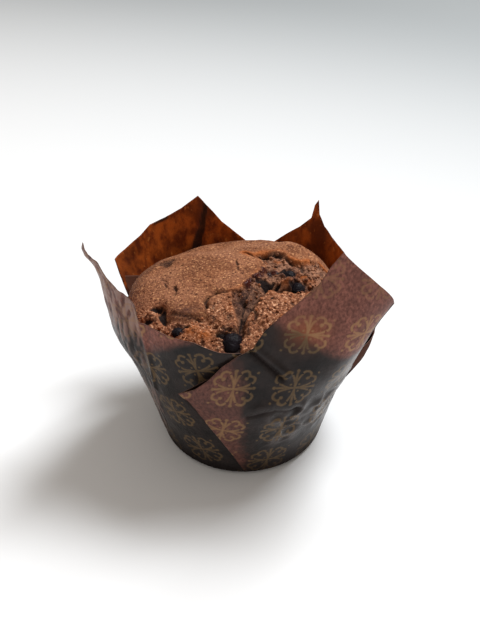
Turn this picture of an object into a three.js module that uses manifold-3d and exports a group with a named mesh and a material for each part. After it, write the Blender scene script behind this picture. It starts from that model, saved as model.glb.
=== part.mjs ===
// Blueberry muffin in its paper case: one square sheet pressed round a round foot, four corners
// standing up as petals, the slack taken up in four Z-shaped pleats. Millimetres, +Z up, the foot
// centred on the origin. Azimuths are in degrees, counter-clockwise from +X seen from above.
import * as THREE from "three";
import Module from "manifold-3d";

const wasm = await Module();
wasm.setup();

// ---- Paper case ----
const FOOT_R = 25;
const FOOT_EDGE_R = 3; // rounding where the foot turns up into the wall
const PAPER = 0.5; // thickness of the case as a solid
const RIM_T = 0.9; // thickness of the turned-up edge of the foot, which holds the petals
const RIM_Z = 4;
const PETAL_Z0 = 1.6; // the petals start inside the turned-up edge
const WALL_R10 = 26.8; // wall radius 10 mm up, the same all round
const STEP_AZ = 7; // widest step between two columns of a petal
const ROWS = 9; // steps up a petal
const PLEAT_COLS = 5; // steps across the middle layer of a pleat
const PLEAT_STEP = 0.6; // how far the middle layer lies under the outer petal

// Heights at which each rib gives the radius of its petal.
const RIB_Z = [20, 30, 40, 50, 60, 75];

// Each petal: lift = how far it stands off the common wall 10 mm up; foot = azimuths of its sides at
// the foot; edge = the sheet's edge as [azimuth, height]; ribs = [azimuth, radii at RIB_Z].
const PETALS = {
  // broad outer petal at the front right: flat, leaning in, its right side curling back
  front: {
    lift: 0.3,
    foot: [271, 345],
    edge: [
      [241.5, 38], [248.4, 40], [254.4, 42.9], [259.8, 46.2], [267.8, 49], [273.3, 50],
      [281, 55.6], [288.8, 58.9], [298.6, 62.9], [307, 67.1], [312, 71.4], [316.8, 75],
      [324.3, 68], [335, 57.5],
    ],
    ribs: [
      [238, 29.8, 32.8, 36.4, 38, 39, 40],
      [250, 29.6, 32.2, 33.8, 32.1, 31, 30],
      [262, 29.5, 31.9, 31.2, 29.6, 28.1, 26],
      [277, 29.4, 31.6, 30.1, 28.6, 27.2, 25],
      [292, 29.3, 31.6, 31.2, 29.6, 28.1, 25.8],
      [305, 29.1, 31.5, 33.4, 32.4, 30.8, 28.2],
      [317, 28.9, 31.6, 35.2, 36.4, 35.4, 32.6],
      [326, 28.8, 32, 35.6, 38.6, 39.5, 38],
      [335, 28.8, 32.6, 35.8, 39.3, 43.6, 48],
      [346, 29.2, 33, 36.5, 40.5, 45, 50],
    ],
  },
  // inner petal on the left, running on across the front under the outer one
  left: {
    lift: 0,
    foot: [158, 273],
    edge: [
      [135, 36], [160, 38], [172, 43.5], [181, 49.5], [187, 57], [190, 69],
      [200.4, 66.6], [202.5, 62.8], [207.2, 60], [210.8, 58.8], [215, 57], [216.5, 52.6],
      [221.5, 52.4], [233, 52], [246, 52], [258, 49.7], [268, 49.3], [274, 48],
    ],
    ribs: [
      [130, 28.8, 31.2, 32.8, 34, 35, 36],
      [158, 29, 32, 34.8, 36.5, 37.5, 39],
      [180, 29.2, 32.6, 35.7, 37.9, 39.3, 41.6],
      [195, 29.4, 32.8, 36.6, 38.2, 39.2, 42.8],
      [205, 29, 32, 35.3, 36.4, 36.8, 38.5],
      [215, 28.8, 31, 32.4, 33, 33.2, 34],
      [232, 28.6, 30.6, 31, 31.2, 31.5, 32],
      [248, 28.4, 30.2, 30.4, 30.3, 30, 30],
      [262, 28.4, 30, 29.9, 29, 28.5, 28],
      [278, 28.2, 29.8, 28.8, 27.6, 27, 26],
    ],
  },
  // outer petal at the back left, its left side standing well off the muffin
  back: {
    lift: 0.3,
    foot: [82, 160],
    edge: [
      [76, 37], [89, 44.5], [100.5, 51], [111.2, 60.1], [118.8, 56.5], [126.5, 54.2],
      [133.5, 52.8], [138.2, 50.3], [145.8, 47.3], [151.5, 45.8],
    ],
    ribs: [
      [76, 29.8, 33.4, 36.4, 38, 39, 40],
      [89, 29.8, 33, 35.4, 36.3, 37, 38],
      [100, 29.8, 33, 35.6, 36.6, 37.5, 38.6],
      [111, 29.8, 33.2, 36, 37.6, 38.8, 40],
      [126, 30.2, 34.5, 38, 40.4, 42, 44],
      [140, 31, 36.2, 40.8, 43.7, 45.5, 47],
      [151, 31.8, 38, 43, 47, 49.5, 52],
      [162, 31.5, 37, 42, 46, 49, 52],
    ],
  },
  // inner petal at the back right, bulging outwards on the right
  right: {
    lift: 0,
    foot: [-17, 84],
    edge: [
      [-45, 33], [-22, 36], [-8, 38.5], [5, 41], [20, 44.5], [33, 49.3], [42.2, 51.5],
      [48, 53.7], [51.5, 57], [52.8, 61.5], [54.5, 59.4], [55.5, 55], [61, 51.1],
      [67.2, 47.9], [73.2, 44.7], [100, 37],
    ],
    ribs: [
      [-50, 27.8, 30.2, 33, 33.5, 34, 35],
      [-25, 27.8, 31.2, 34.5, 36, 37, 38],
      [-8, 31.5, 36.6, 38.6, 39.5, 40, 41],
      [12, 32, 36.5, 38.5, 39, 39.5, 40],
      [33, 30.5, 34.2, 36.2, 37, 37.6, 38.5],
      [53, 30, 33.6, 36, 37.6, 38.8, 40],
      [73, 29.2, 32.4, 35, 36.9, 38, 39],
      [88, 28.6, 31.2, 33, 34, 35, 36],
      [105, 28.4, 31, 32.6, 33.6, 34, 35],
    ],
  },
};

// ---- Muffin ----
const GAP = 0.35; // between the muffin and the paper
const CROWN_R = 32.1;
const CROWN_C = [-1, 0.2];
const CROWN_Z = 45.8; // height of the crown's rim
const CROWN_H = 9.5; // rise of the dome above its rim
const CROWN_POWER = 0.6;
const MUFFIN_Z0 = PAPER + GAP;
const MUFFIN_EDGE = 3; // how far the muffin's underside stays in from its side
const SIDE_Z = [3, 9, 17, 25, 33, 39, 43];
const RIM_HEIGHTS = [46.5, 49.5]; // the crown's rim stays clear of the paper at both heights
const RINGS = 21;
const FINE_AZ = 3.6; // column step where the crust is torn
const COARSE_AZ = 6;
const FINE_FROM = 195;
const FINE_TO = 375;

// The torn patch of the crown: outline as [x, y], sunk below the crust. A tongue of crust reaches
// into it from the left, and a narrow tail runs down to the front rim.
const TORN = [
  [0.3, 13.6], [2.7, 10.9], [6.4, 12.9], [10.1, 12.5], [12.4, 10.9], [14.7, 8.6], [17, 7.7],
  [19.7, 10.4], [22.4, 12.1], [27, 10], [28.5, 4.5], [25.3, 3.5], [21, -2], [18.5, -4.5],
  [16, -7.1], [13.9, -8.4], [11.9, -7.1], [9.4, -8.6], [6.9, -8.2], [4.9, -10.1], [2.8, -14.3],
  [1.3, -16.7], [0.4, -18.7], [0, -21.2], [-0.7, -23.2], [-1.5, -20], [-2.4, -15.9],
  [-2.9, -12.2], [-3.1, -8], [-0.9, -7.6], [1.4, -5.8], [1.4, -3.5], [3.7, -1.4], [6.6, 2.6],
  [6.2, 5.4], [5.3, 8.4], [2.7, 9.6], [0.3, 12.9],
];
const TORN_DEPTH = 1.2;
const TORN_LIP = 1.4; // width over which the patch sinks
// Valleys and cracks: half-width, depth, then the points of the line as [x, y].
const CRACKS = [
  [1.2, 1.6, [[4.5, -7], [2.4, -10.9], [1.3, -14.4], [0.2, -17.3], [-0.1, -20.8], [-0.5, -23.2]]],
  [1.6, 1, [[6.4, 12], [8.5, 8], [8, 2], [6.8, -4.5]]],
  [1.3, 1.4, [[6.8, -4.5], [9.6, -6.4], [14.9, -5.6], [18.5, -3.5]]],
  [0.8, 0.7, [[-4, -8.2], [-7.1, -8.5], [-9.2, -10.2], [-10.2, -12], [-9.5, -14.1]]],
  [1.2, 1, [[-20.2, -15.5], [-16.5, -17.6], [-13.5, -17.9], [-10.5, -17.5], [-7.5, -21]]],
];
// Hollows and lumps: x, y, half-width along x, half-width along y, height (negative for a hollow).
const LUMPS = [
  [6.8, -4.5, 2.6, 2.2, -2.4],
  [-22.5, -12, 2.2, 1.6, -2],
  [-20.6, -15.6, 1.5, 2.2, -2.2],
  [-24.6, -13.8, 1.7, 1.6, 0.8],
  [-22.6, 9.8, 2.4, 2.4, -1.2],
  [12.1, -3.8, 2, 1.8, 1.5],
  [17.2, 0.1, 2.6, 2, 1.4],
  [8.4, -13.6, 4, 3.4, 1.2],
  [5.5, -18.4, 3, 3, 0.7],
  [23.5, 6, 2.8, 2.6, 0.8],
  [-13.5, -21.8, 1.8, 1.3, 0.9],
  [-10, -23.6, 2, 1.5, 0.9],
  [-6.6, -22.8, 1.3, 1.2, 0.7],
  [15, 17, 7, 6, 2.4],
  [29, 13, 5, 7, -2.6],
  [-2, 24, 10, 8, -1.4],
  [-14, 22, 16, 8, -2.4],
];
const GRAIN = 0.14; // roughness of the crust
const TORN_GRAIN = 0.45; // roughness of the torn crumb

// ---- Blueberries: name, x, y, z of the middle, radius ----
const BERRIES = [
  ["blueberry_front", -2.9, -24.8, 49.2, 3.2],
  ["blueberry_left", -16.9, -21.2, 49.9, 1.8],
  ["blueberry_tear", 15, -4.4, 51.8, 2.3],
  ["blueberry_burst", 13.2, 1.8, 51.7, 2.3],
];
const SOCKET = 0.3; // clearance round a berry
const BERRY_DETAIL = 2;

const rad = THREE.MathUtils.degToRad;
const lerp = THREE.MathUtils.lerp;
const clamp = THREE.MathUtils.clamp;
const smooth = THREE.MathUtils.smoothstep;

function polar(az, r, z) {
  return new THREE.Vector3(r * Math.cos(rad(az)), r * Math.sin(rad(az)), z);
}

// Smooth curve through [x, y] pairs: cubic pieces whose slopes come from the neighbours.
function curve(xs, ys, x) {
  const n = xs.length;
  let i = 0;
  while (i < n - 2 && x > xs[i + 1]) i++;
  const slope = (k) => {
    const a = Math.max(k - 1, 0);
    const b = Math.min(k + 1, n - 1);
    return (ys[b] - ys[a]) / (xs[b] - xs[a]);
  };
  const h = xs[i + 1] - xs[i];
  const t = clamp((x - xs[i]) / h, 0, 1);
  const t2 = t * t;
  const t3 = t2 * t;
  return (
    ys[i] * (2 * t3 - 3 * t2 + 1) +
    slope(i) * h * (t3 - 2 * t2 + t) +
    ys[i + 1] * (3 * t2 - 2 * t3) +
    slope(i + 1) * h * (t3 - t2)
  );
}

// Straight pieces through [x, y] pairs.
function line(pairs, x) {
  let i = 0;
  while (i < pairs.length - 2 && x > pairs[i + 1][0]) i++;
  const [x0, y0] = pairs[i];
  const [x1, y1] = pairs[i + 1];
  return lerp(y0, y1, clamp((x - x0) / (x1 - x0), 0, 1));
}

// Radius of a petal's middle surface at an azimuth and height.
function petalRadius(petal, azimuth, z) {
  const azimuths = petal.ribs.map((rib) => rib[0]);
  const middle = (azimuths[0] + azimuths[azimuths.length - 1]) / 2;
  const az = azimuth - 360 * Math.round((azimuth - middle) / 360);
  const radii = RIB_Z.map((_, k) => curve(azimuths, petal.ribs.map((rib) => rib[k + 1]), az));
  return curve([0, 10, ...RIB_Z], [FOOT_R, WALL_R10 + petal.lift, ...radii], z);
}

// Point of a petal: u runs along its edge from 0 to 1, v from the foot to the edge.
function petalPoint(petal, u, v) {
  const edge = petal.edge;
  const azTop = lerp(edge[0][0], edge[edge.length - 1][0], u);
  const z = lerp(PETAL_Z0, line(edge, azTop), v);
  const az = lerp(lerp(petal.foot[0], petal.foot[1], u), azTop, v);
  return [az, petalRadius(petal, az, z), z];
}

// Columns of a petal: one at each corner of its edge, and enough between them.
function petalColumns(petal) {
  const azimuths = petal.edge.map((e) => e[0]);
  const span = azimuths[azimuths.length - 1] - azimuths[0];
  const us = [0];
  for (let i = 1; i < azimuths.length; i++) {
    const n = Math.ceil((azimuths[i] - azimuths[i - 1]) / STEP_AZ);
    for (let k = 1; k <= n; k++) {
      us.push((lerp(azimuths[i - 1], azimuths[i], k / n) - azimuths[0]) / span);
    }
  }
  return us;
}

function solid(points, triangles) {
  return new wasm.Manifold(
    new wasm.Mesh({
      numProp: 3,
      vertProperties: new Float32Array(points.flatMap((p) => [p.x, p.y, p.z])),
      triVerts: new Uint32Array(triangles.flat()),
    }),
  );
}

// A thin closed plate round a grid of points. Columns run counter-clockwise, rows run upwards.
function plate(grid, thickness) {
  const cols = grid.length;
  const rows = grid[0].length;
  const points = [];
  const side = [];
  for (const sign of [1, -1]) {
    for (let i = 0; i < cols; i++) {
      for (let j = 0; j < rows; j++) {
        const across = grid[Math.min(i + 1, cols - 1)][j].clone().sub(grid[Math.max(i - 1, 0)][j]);
        const up = grid[i][Math.min(j + 1, rows - 1)].clone().sub(grid[i][Math.max(j - 1, 0)]);
        const normal = across.cross(up).normalize();
        points.push(grid[i][j].clone().addScaledVector(normal, (sign * thickness) / 2));
      }
    }
  }
  const outer = (i, j) => i * rows + j;
  const inner = (i, j) => cols * rows + i * rows + j;
  const quad = (a, b, c, d) => side.push([a, b, c], [a, c, d]);
  for (let i = 0; i < cols - 1; i++) {
    for (let j = 0; j < rows - 1; j++) {
      quad(outer(i, j), outer(i + 1, j), outer(i + 1, j + 1), outer(i, j + 1));
      quad(inner(i, j), inner(i, j + 1), inner(i + 1, j + 1), inner(i + 1, j));
    }
    quad(inner(i, 0), inner(i + 1, 0), outer(i + 1, 0), outer(i, 0));
    quad(outer(i, rows - 1), outer(i + 1, rows - 1), inner(i + 1, rows - 1), inner(i, rows - 1));
  }
  for (let j = 0; j < rows - 1; j++) {
    quad(inner(0, j), outer(0, j), outer(0, j + 1), inner(0, j + 1));
    quad(outer(cols - 1, j), inner(cols - 1, j), inner(cols - 1, j + 1), outer(cols - 1, j + 1));
  }
  return solid(points, side);
}

function petalPlate(petal) {
  const grid = petalColumns(petal).map((u) => {
    const column = [];
    for (let j = 0; j <= ROWS; j++) column.push(polar(...petalPoint(petal, u, j / ROWS)));
    return column;
  });
  return plate(grid, PAPER);
}

// The middle layer of a pleat: from the side of its outer petal back under it to the side of the
// inner petal. It leaves the outer petal at a share of the way and then lies on the inner one, and
// its top starts a drop below the outer petal's corner.
function pleatPlate([outer, outerU, inner, innerU, leave, drop]) {
  const grid = [];
  for (let i = 0; i <= PLEAT_COLS; i++) {
    const share = i / PLEAT_COLS;
    const column = [];
    for (let j = 0; j <= ROWS; j++) {
      const [azOut, , zOut] = petalPoint(outer, outerU, j / ROWS);
      const [azIn, , zIn] = petalPoint(inner, innerU, j / ROWS);
      const turn = azIn - azOut - 360 * Math.round((azIn - azOut) / 360);
      const az = azOut + turn * share;
      const z = lerp(zOut - (drop * j) / ROWS, zIn, share);
      const low = petalRadius(inner, az, z);
      const apart = petalRadius(outer, az, z) - low;
      const high = apart - Math.min(PLEAT_STEP, apart / 2) * smooth(share, 0, 0.2);
      const rest = Math.min(0.5 * PAPER, 0.35 * apart);
      column.push(polar(az, low + lerp(high, rest, smooth(share, leave, leave + 0.4)), z));
    }
    grid.push(column);
  }
  return plate(innerU > 0 ? grid : grid.reverse(), PAPER);
}

// The foot: a thin disc with its edge turned up round the petals.
function footSolid() {
  const wall = (z) => lerp(FOOT_R, WALL_R10, z / 10);
  const profile = [[0, 0]];
  const bend = 4;
  for (let k = 0; k <= bend; k++) {
    const a = rad((90 * k) / bend);
    const r = wall(FOOT_EDGE_R) + RIM_T / 2 - FOOT_EDGE_R + FOOT_EDGE_R * Math.sin(a);
    profile.push([r, FOOT_EDGE_R * (1 - Math.cos(a))]);
  }
  profile.push([wall(RIM_Z) + RIM_T / 2, RIM_Z]);
  profile.push([wall(RIM_Z) - RIM_T / 2, RIM_Z]);
  profile.push([wall(FOOT_EDGE_R) - RIM_T / 2, FOOT_EDGE_R * 0.8]);
  profile.push([wall(FOOT_EDGE_R) - RIM_T / 2 - FOOT_EDGE_R, PAPER]);
  profile.push([0, PAPER]);
  const columns = 48;
  const points = [new THREE.Vector3(0, 0, 0), new THREE.Vector3(0, 0, PAPER)];
  const ring = profile.slice(1, -1);
  for (let i = 0; i < columns; i++) {
    for (const [r, z] of ring) points.push(polar((360 * i) / columns, r, z));
  }
  const at = (i, k) => 2 + (i % columns) * ring.length + k;
  const triangles = [];
  for (let i = 0; i < columns; i++) {
    triangles.push([0, at(i + 1, 0), at(i, 0)]);
    triangles.push([1, at(i, ring.length - 1), at(i + 1, ring.length - 1)]);
    for (let k = 0; k < ring.length - 1; k++) {
      triangles.push([at(i, k), at(i + 1, k), at(i + 1, k + 1)]);
      triangles.push([at(i, k), at(i + 1, k + 1), at(i, k + 1)]);
    }
  }
  return solid(points, triangles);
}

// Innermost paper at an azimuth and height.
function innerWall(az, z) {
  const a = ((az % 360) + 360) % 360;
  const within = (from, to) => a >= from && a <= to;
  let r = FOOT_R + ((WALL_R10 - FOOT_R) * z) / 10 + 0.0008 * z * z;
  if (within(128, 277)) r = Math.min(r, petalRadius(PETALS.left, a, z));
  if (a > 311) r = Math.min(r, petalRadius(PETALS.right, a - 360, z));
  if (a < 105) r = Math.min(r, petalRadius(PETALS.right, a, z));
  if (within(104, 129)) r = Math.min(r, petalRadius(PETALS.back, a, z) - 1);
  if (within(276, 312)) r = Math.min(r, petalRadius(PETALS.front, a, z));
  return r - PAPER / 2 - GAP;
}

function segmentDistance(x, y, [ax, ay], [bx, by]) {
  const t = clamp(
    ((x - ax) * (bx - ax) + (y - ay) * (by - ay)) / ((bx - ax) ** 2 + (by - ay) ** 2),
    0,
    1,
  );
  return Math.hypot(x - lerp(ax, bx, t), y - lerp(ay, by, t));
}

// How far a point lies inside a closed outline: negative outside.
function insideBy(outline, x, y) {
  let inside = false;
  let nearest = Infinity;
  for (let i = 0, j = outline.length - 1; i < outline.length; j = i++) {
    const [xi, yi] = outline[i];
    const [xj, yj] = outline[j];
    if (yi > y !== yj > y && x < ((xj - xi) * (y - yi)) / (yj - yi) + xi) inside = !inside;
    nearest = Math.min(nearest, segmentDistance(x, y, outline[j], outline[i]));
  }
  return inside ? nearest : -nearest;
}

// Repeatable unevenness from crossed waves, about -1 to 1.
function waves(x, y) {
  return (
    Math.sin(1.9 * x + 0.7 * y + 1.3) * Math.sin(1.6 * y - 0.5 * x + 0.4) * 0.6 +
    Math.sin(3.1 * x - 1.4 * y) * Math.sin(2.7 * y + 1.2 * x + 2.1) * 0.4
  );
}

// Height of the crown's surface above a point.
function crownZ(x, y) {
  const q = Math.hypot(x - CROWN_C[0], y - CROWN_C[1]) / CROWN_R;
  let z = CROWN_Z + CROWN_H * Math.max(0, 1 - q * q) ** CROWN_POWER;
  const torn = smooth(insideBy(TORN, x, y), -TORN_LIP / 2, TORN_LIP / 2);
  z -= TORN_DEPTH * torn;
  const detail = smooth(1 - q, 0, 0.12);
  for (const [width, depth, points] of CRACKS) {
    let d = Infinity;
    for (let i = 1; i < points.length; i++) {
      d = Math.min(d, segmentDistance(x, y, points[i - 1], points[i]));
    }
    z -= depth * detail * Math.exp(-((d / width) ** 2));
  }
  for (const [cx, cy, wx, wy, height] of LUMPS) {
    z += height * Math.exp(-(((x - cx) / wx) ** 2) - ((y - cy) / wy) ** 2);
  }
  return z + lerp(GRAIN, TORN_GRAIN, torn) * detail * waves(x, y);
}

function muffinSolid() {
  const azimuths = [];
  const fine = Math.round((FINE_TO - FINE_FROM) / FINE_AZ);
  for (let i = 0; i < fine; i++) azimuths.push(lerp(FINE_FROM, FINE_TO, i / fine));
  const coarse = Math.round((FINE_FROM + 360 - FINE_TO) / COARSE_AZ);
  for (let i = 0; i < coarse; i++) azimuths.push(lerp(FINE_TO, FINE_FROM + 360, i / coarse));
  const columns = azimuths.map((az) => {
    const out = polar(az, 1, 0);
    const along = out.x * CROWN_C[0] + out.y * CROWN_C[1];
    const off = CROWN_C[0] ** 2 + CROWN_C[1] ** 2 - CROWN_R ** 2;
    const free = along + Math.sqrt(along * along - off);
    const rim = Math.min(free - 0.3, ...RIM_HEIGHTS.map((z) => innerWall(az, z)));
    const column = [];
    column.push(polar(az, innerWall(az, MUFFIN_Z0) - MUFFIN_EDGE, MUFFIN_Z0));
    for (const z of SIDE_Z) column.push(polar(az, Math.min(innerWall(az, z), rim + 0.4), z));
    for (let k = 0; k < RINGS; k++) {
      const r = rim * Math.sin((Math.PI / 2) * (1 - k / RINGS)) ** 0.9;
      column.push(polar(az, r, crownZ(r * out.x, r * out.y)));
    }
    return column;
  });
  const rows = columns[0].length;
  const count = columns.length;
  const points = columns.flat();
  const low = points.push(new THREE.Vector3(0, 0, MUFFIN_Z0)) - 1;
  const high = points.push(new THREE.Vector3(0, 0, crownZ(0, 0))) - 1;
  const at = (i, k) => (i % count) * rows + k;
  const triangles = [];
  for (let i = 0; i < count; i++) {
    triangles.push([low, at(i + 1, 0), at(i, 0)]);
    triangles.push([high, at(i, rows - 1), at(i + 1, rows - 1)]);
    for (let k = 0; k < rows - 1; k++) {
      triangles.push([at(i, k), at(i + 1, k), at(i + 1, k + 1)]);
      triangles.push([at(i, k), at(i + 1, k + 1), at(i, k + 1)]);
    }
  }
  return solid(points, triangles);
}

function ball([, x, y, z, r], grow) {
  const geometry = new THREE.IcosahedronGeometry(r + grow, BERRY_DETAIL);
  const position = geometry.getAttribute("position");
  const index = new Map();
  const points = [];
  const corners = [];
  for (let i = 0; i < position.count; i++) {
    const p = new THREE.Vector3().fromBufferAttribute(position, i);
    const key = p.toArray().map((value) => Math.round(value * 1e4)).join();
    if (!index.has(key)) index.set(key, points.push(p.add(new THREE.Vector3(x, y, z))) - 1);
    corners.push(index.get(key));
  }
  const triangles = [];
  for (let i = 0; i < corners.length; i += 3) triangles.push(corners.slice(i, i + 3));
  return solid(points, triangles);
}

function meshOf(body, name, color, roughness) {
  const { numProp, numVert, vertProperties, triVerts } = body.getMesh();
  const position = new Float32Array(numVert * 3);
  for (let i = 0; i < numVert; i++) {
    position.set(vertProperties.subarray(i * numProp, i * numProp + 3), i * 3);
  }
  const geometry = new THREE.BufferGeometry();
  geometry.setAttribute("position", new THREE.BufferAttribute(position, 3));
  geometry.setIndex(new THREE.BufferAttribute(triVerts, 1));
  geometry.computeVertexNormals();
  const mesh = new THREE.Mesh(geometry, new THREE.MeshStandardMaterial({ color, roughness }));
  mesh.name = name;
  return mesh;
}

let caseBody = footSolid();
for (const petal of Object.values(PETALS)) caseBody = caseBody.add(petalPlate(petal));
const { front, left, back, right } = PETALS;
for (const pleat of [
  [front, 0, left, 1, 0, 0],
  [front, 1, right, 0, 0, 0],
  [back, 1, left, 0, 0.4, 5.5],
  [back, 0, right, 1, 0, 0],
]) {
  caseBody = caseBody.add(pleatPlate(pleat));
}

let muffinBody = muffinSolid();
for (const berry of BERRIES) muffinBody = muffinBody.subtract(ball(berry, SOCKET));

const group = new THREE.Group();
group.name = "blueberry_muffin";
group.add(meshOf(caseBody, "case", 0x352b28, 0.5));
group.add(meshOf(muffinBody, "muffin", 0x80543e, 0.9));
for (const berry of BERRIES) group.add(meshOf(ball(berry, 0), berry[0], 0x17161c, 0.45));

export default group;
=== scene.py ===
import math

import bpy
import numpy as np
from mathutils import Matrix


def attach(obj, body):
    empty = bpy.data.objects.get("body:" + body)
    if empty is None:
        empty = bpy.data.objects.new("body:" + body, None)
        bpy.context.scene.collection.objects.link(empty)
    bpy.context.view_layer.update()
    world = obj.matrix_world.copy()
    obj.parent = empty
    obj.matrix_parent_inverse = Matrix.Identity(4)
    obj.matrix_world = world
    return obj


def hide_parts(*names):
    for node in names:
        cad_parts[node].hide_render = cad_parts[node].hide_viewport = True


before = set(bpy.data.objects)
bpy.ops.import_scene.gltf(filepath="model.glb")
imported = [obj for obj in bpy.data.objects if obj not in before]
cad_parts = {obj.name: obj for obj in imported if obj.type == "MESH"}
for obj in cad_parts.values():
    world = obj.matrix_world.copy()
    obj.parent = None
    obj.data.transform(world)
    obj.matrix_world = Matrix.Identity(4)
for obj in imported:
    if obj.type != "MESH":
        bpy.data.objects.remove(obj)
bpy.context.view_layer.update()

# Looks of the blueberry muffin in its printed paper case. Lengths are millimetres until a mesh is
# made; azimuths are degrees counter-clockwise from +X seen from above, heights are above the foot.

MM = 0.001

# ---- Paper case, the same petals as the frame's ----
FOOT_R = 25.0
WALL_R10 = 26.8  # wall radius 10 mm up, before a petal's own lift
WALL_FLARE = 0.0008  # extra radius of the plain wall per square millimetre of height
PETAL_Z0 = 1.6  # height at which a petal's surface starts
RIB_Z = (20, 30, 40, 50, 60, 75)
FRAME_PAPER = 0.5  # thickness of the frame's case
PAPER = 0.16  # thickness of the sheets made here
FOOT_EDGE_R = 3.0  # rounding where the foot turns up into the wall
FOOT_EDGE_STEPS = 7
FOOT_FLAP = 9.0  # how far a petal's paper runs in under the foot
FOOT_FLAP_Z = 0.09
FOOT_SHEET_R = 22.5
FOOT_SHEET_Z = 0.3
FOOT_SHEET_GRID = (97, 8)
PLEAT_GRID = (26, 90)
PLEAT_STEP = 0.45  # how far a pleat's middle layer lies under the outer petal
PLEAT_REST = 0.5  # how far it lies off the inner petal in the end
PLEAT_CROSSING = 0.4  # share of its width on which it crosses from one to the other

# Each petal: its lift 10 mm up, the azimuths it takes at the foot, its upper edge as (azimuth,
# height), and its ribs as (azimuth, radius at each height of RIB_Z).
PETALS = {}
PETALS["front"] = {
    "lift": 0.3,
    "foot": (271, 345),
    "edge": (
        (241.5, 38), (248.4, 40), (254.4, 42.9), (259.8, 46.2), (267.8, 49), (273.3, 50),
        (281, 55.6), (288.8, 58.9), (298.6, 62.9), (307, 67.1), (312, 71.4), (316.8, 75),
        (324.3, 68), (335, 57.5),
    ),
    "ribs": (
        (238, 29.8, 32.8, 36.4, 38, 39, 40),
        (250, 29.6, 32.2, 33.8, 32.1, 31, 30),
        (262, 29.5, 31.9, 31.2, 29.6, 28.1, 26),
        (277, 29.4, 31.6, 30.1, 28.6, 27.2, 25),
        (292, 29.3, 31.6, 31.2, 29.6, 28.1, 25.8),
        (305, 29.1, 31.5, 33.4, 32.4, 30.8, 28.2),
        (317, 28.9, 31.6, 35.2, 36.4, 35.4, 32.6),
        (326, 28.8, 32, 35.6, 38.6, 39.5, 38),
        (335, 28.8, 32.6, 35.8, 39.3, 43.6, 48),
        (346, 29.2, 33, 36.5, 40.5, 45, 50),
    ),
}
PETALS["left"] = {
    "lift": 0,
    "foot": (158, 273),
    "edge": (
        (135, 36), (160, 38), (172, 43.5), (181, 49.5), (187, 57), (190, 69),
        (200.4, 66.6), (202.5, 62.8), (207.2, 60), (210.8, 58.8), (215, 57), (216.5, 52.6),
        (221.5, 52.4), (233, 52), (246, 52), (258, 49.7), (268, 49.3), (274, 48),
    ),
    "ribs": (
        (130, 28.8, 31.2, 32.8, 34, 35, 36),
        (158, 29, 32, 34.8, 36.5, 37.5, 39),
        (180, 29.2, 32.6, 35.7, 37.9, 39.3, 41.6),
        (195, 29.4, 32.8, 36.6, 38.2, 39.2, 42.8),
        (205, 29, 32, 35.3, 36.4, 36.8, 38.5),
        (215, 28.8, 31, 32.4, 33, 33.2, 34),
        (232, 28.6, 30.6, 31, 31.2, 31.5, 32),
        (248, 28.4, 30.2, 30.4, 30.3, 30, 30),
        (262, 28.4, 30, 29.9, 29, 28.5, 28),
        (278, 28.2, 29.8, 28.8, 27.6, 27, 26),
    ),
}
PETALS["back"] = {
    "lift": 0.3,
    "foot": (82, 160),
    "edge": (
        (76, 37), (89, 44.5), (100.5, 51), (111.2, 60.1), (118.8, 56.5), (126.5, 54.2),
        (133.5, 52.8), (138.2, 50.3), (145.8, 47.3), (151.5, 45.8),
    ),
    "ribs": (
        (76, 29.8, 33.4, 36.4, 38, 39, 40),
        (89, 29.8, 33, 35.4, 36.3, 37, 38),
        (100, 29.8, 33, 35.6, 36.6, 37.5, 38.6),
        (111, 29.8, 33.2, 36, 37.6, 38.8, 40),
        (126, 30.2, 34.5, 38, 40.4, 42, 44),
        (140, 31, 36.2, 40.8, 43.7, 45.5, 47),
        (151, 31.8, 38, 43, 47, 49.5, 52),
        (162, 31.5, 37, 42, 46, 49, 52),
    ),
}
PETALS["right"] = {
    "lift": 0,
    "foot": (-17, 84),
    "edge": (
        (-45, 33), (-22, 36), (-8, 38.5), (5, 41), (20, 44.5), (33, 49.3), (42.2, 51.5),
        (48, 53.7), (51.5, 57), (52.8, 61.5), (54.5, 59.4), (55.5, 55), (61, 51.1),
        (67.2, 47.9), (73.2, 44.7), (100, 37),
    ),
    "ribs": (
        (-50, 27.8, 30.2, 33, 33.5, 34, 35),
        (-25, 27.8, 31.2, 34.5, 36, 37, 38),
        (-8, 31.5, 36.6, 38.6, 39.5, 40, 41),
        (12, 32, 36.5, 38.5, 39, 39.5, 40),
        (33, 30.5, 34.2, 36.2, 37, 37.6, 38.5),
        (53, 30, 33.6, 36, 37.6, 38.8, 40),
        (73, 29.2, 32.4, 35, 36.9, 38, 39),
        (88, 28.6, 31.2, 33, 34, 35, 36),
        (105, 28.4, 31, 32.6, 33.6, 34, 35),
    ),
}
# Columns and rows of each petal's fine mesh.
FINENESS = {"front": (210, 170), "left": (230, 130), "back": (120, 90), "right": (200, 90)}
# Pleats: outer petal, its side (0 start, 1 end), inner petal, its side, where it leaves the outer,
# and how far its top starts below the outer petal's corner.
PLEATS = {
    "pleat_front_left": ("front", 0, "left", 1, 0, 0),
    "pleat_front_right": ("front", 1, "right", 0, 0, 0),
    "pleat_back_left": ("back", 1, "left", 0, 0.4, 5.5),
    "pleat_back_right": ("back", 0, "right", 1, 0, 0),
}

# ---- Print: motifs on a square lattice of the flat sheet ----
# On each petal: azimuth from which the sheet is measured, then in millimetres along the sheet the
# middle of a motif and the steps to the next motif along and up.
LATTICE = {
    "front": (277, (-6.3, 40.3), (16, -1.5), (2.9, 15.8)),
    "left": (230, (9.2, 43.6), (15.4, 5.5), (-6.3, 14.1)),
    "back": (118, (3, 40), (15.9, 1.2), (-1.2, 15.9)),
    "right": (25, (2, 38), (15.8, 2.2), (-2.2, 15.8)),
}
PITCH = 16.0  # distance between motifs
STEM = 0.353  # length of a motif's stem, in pitches
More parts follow.
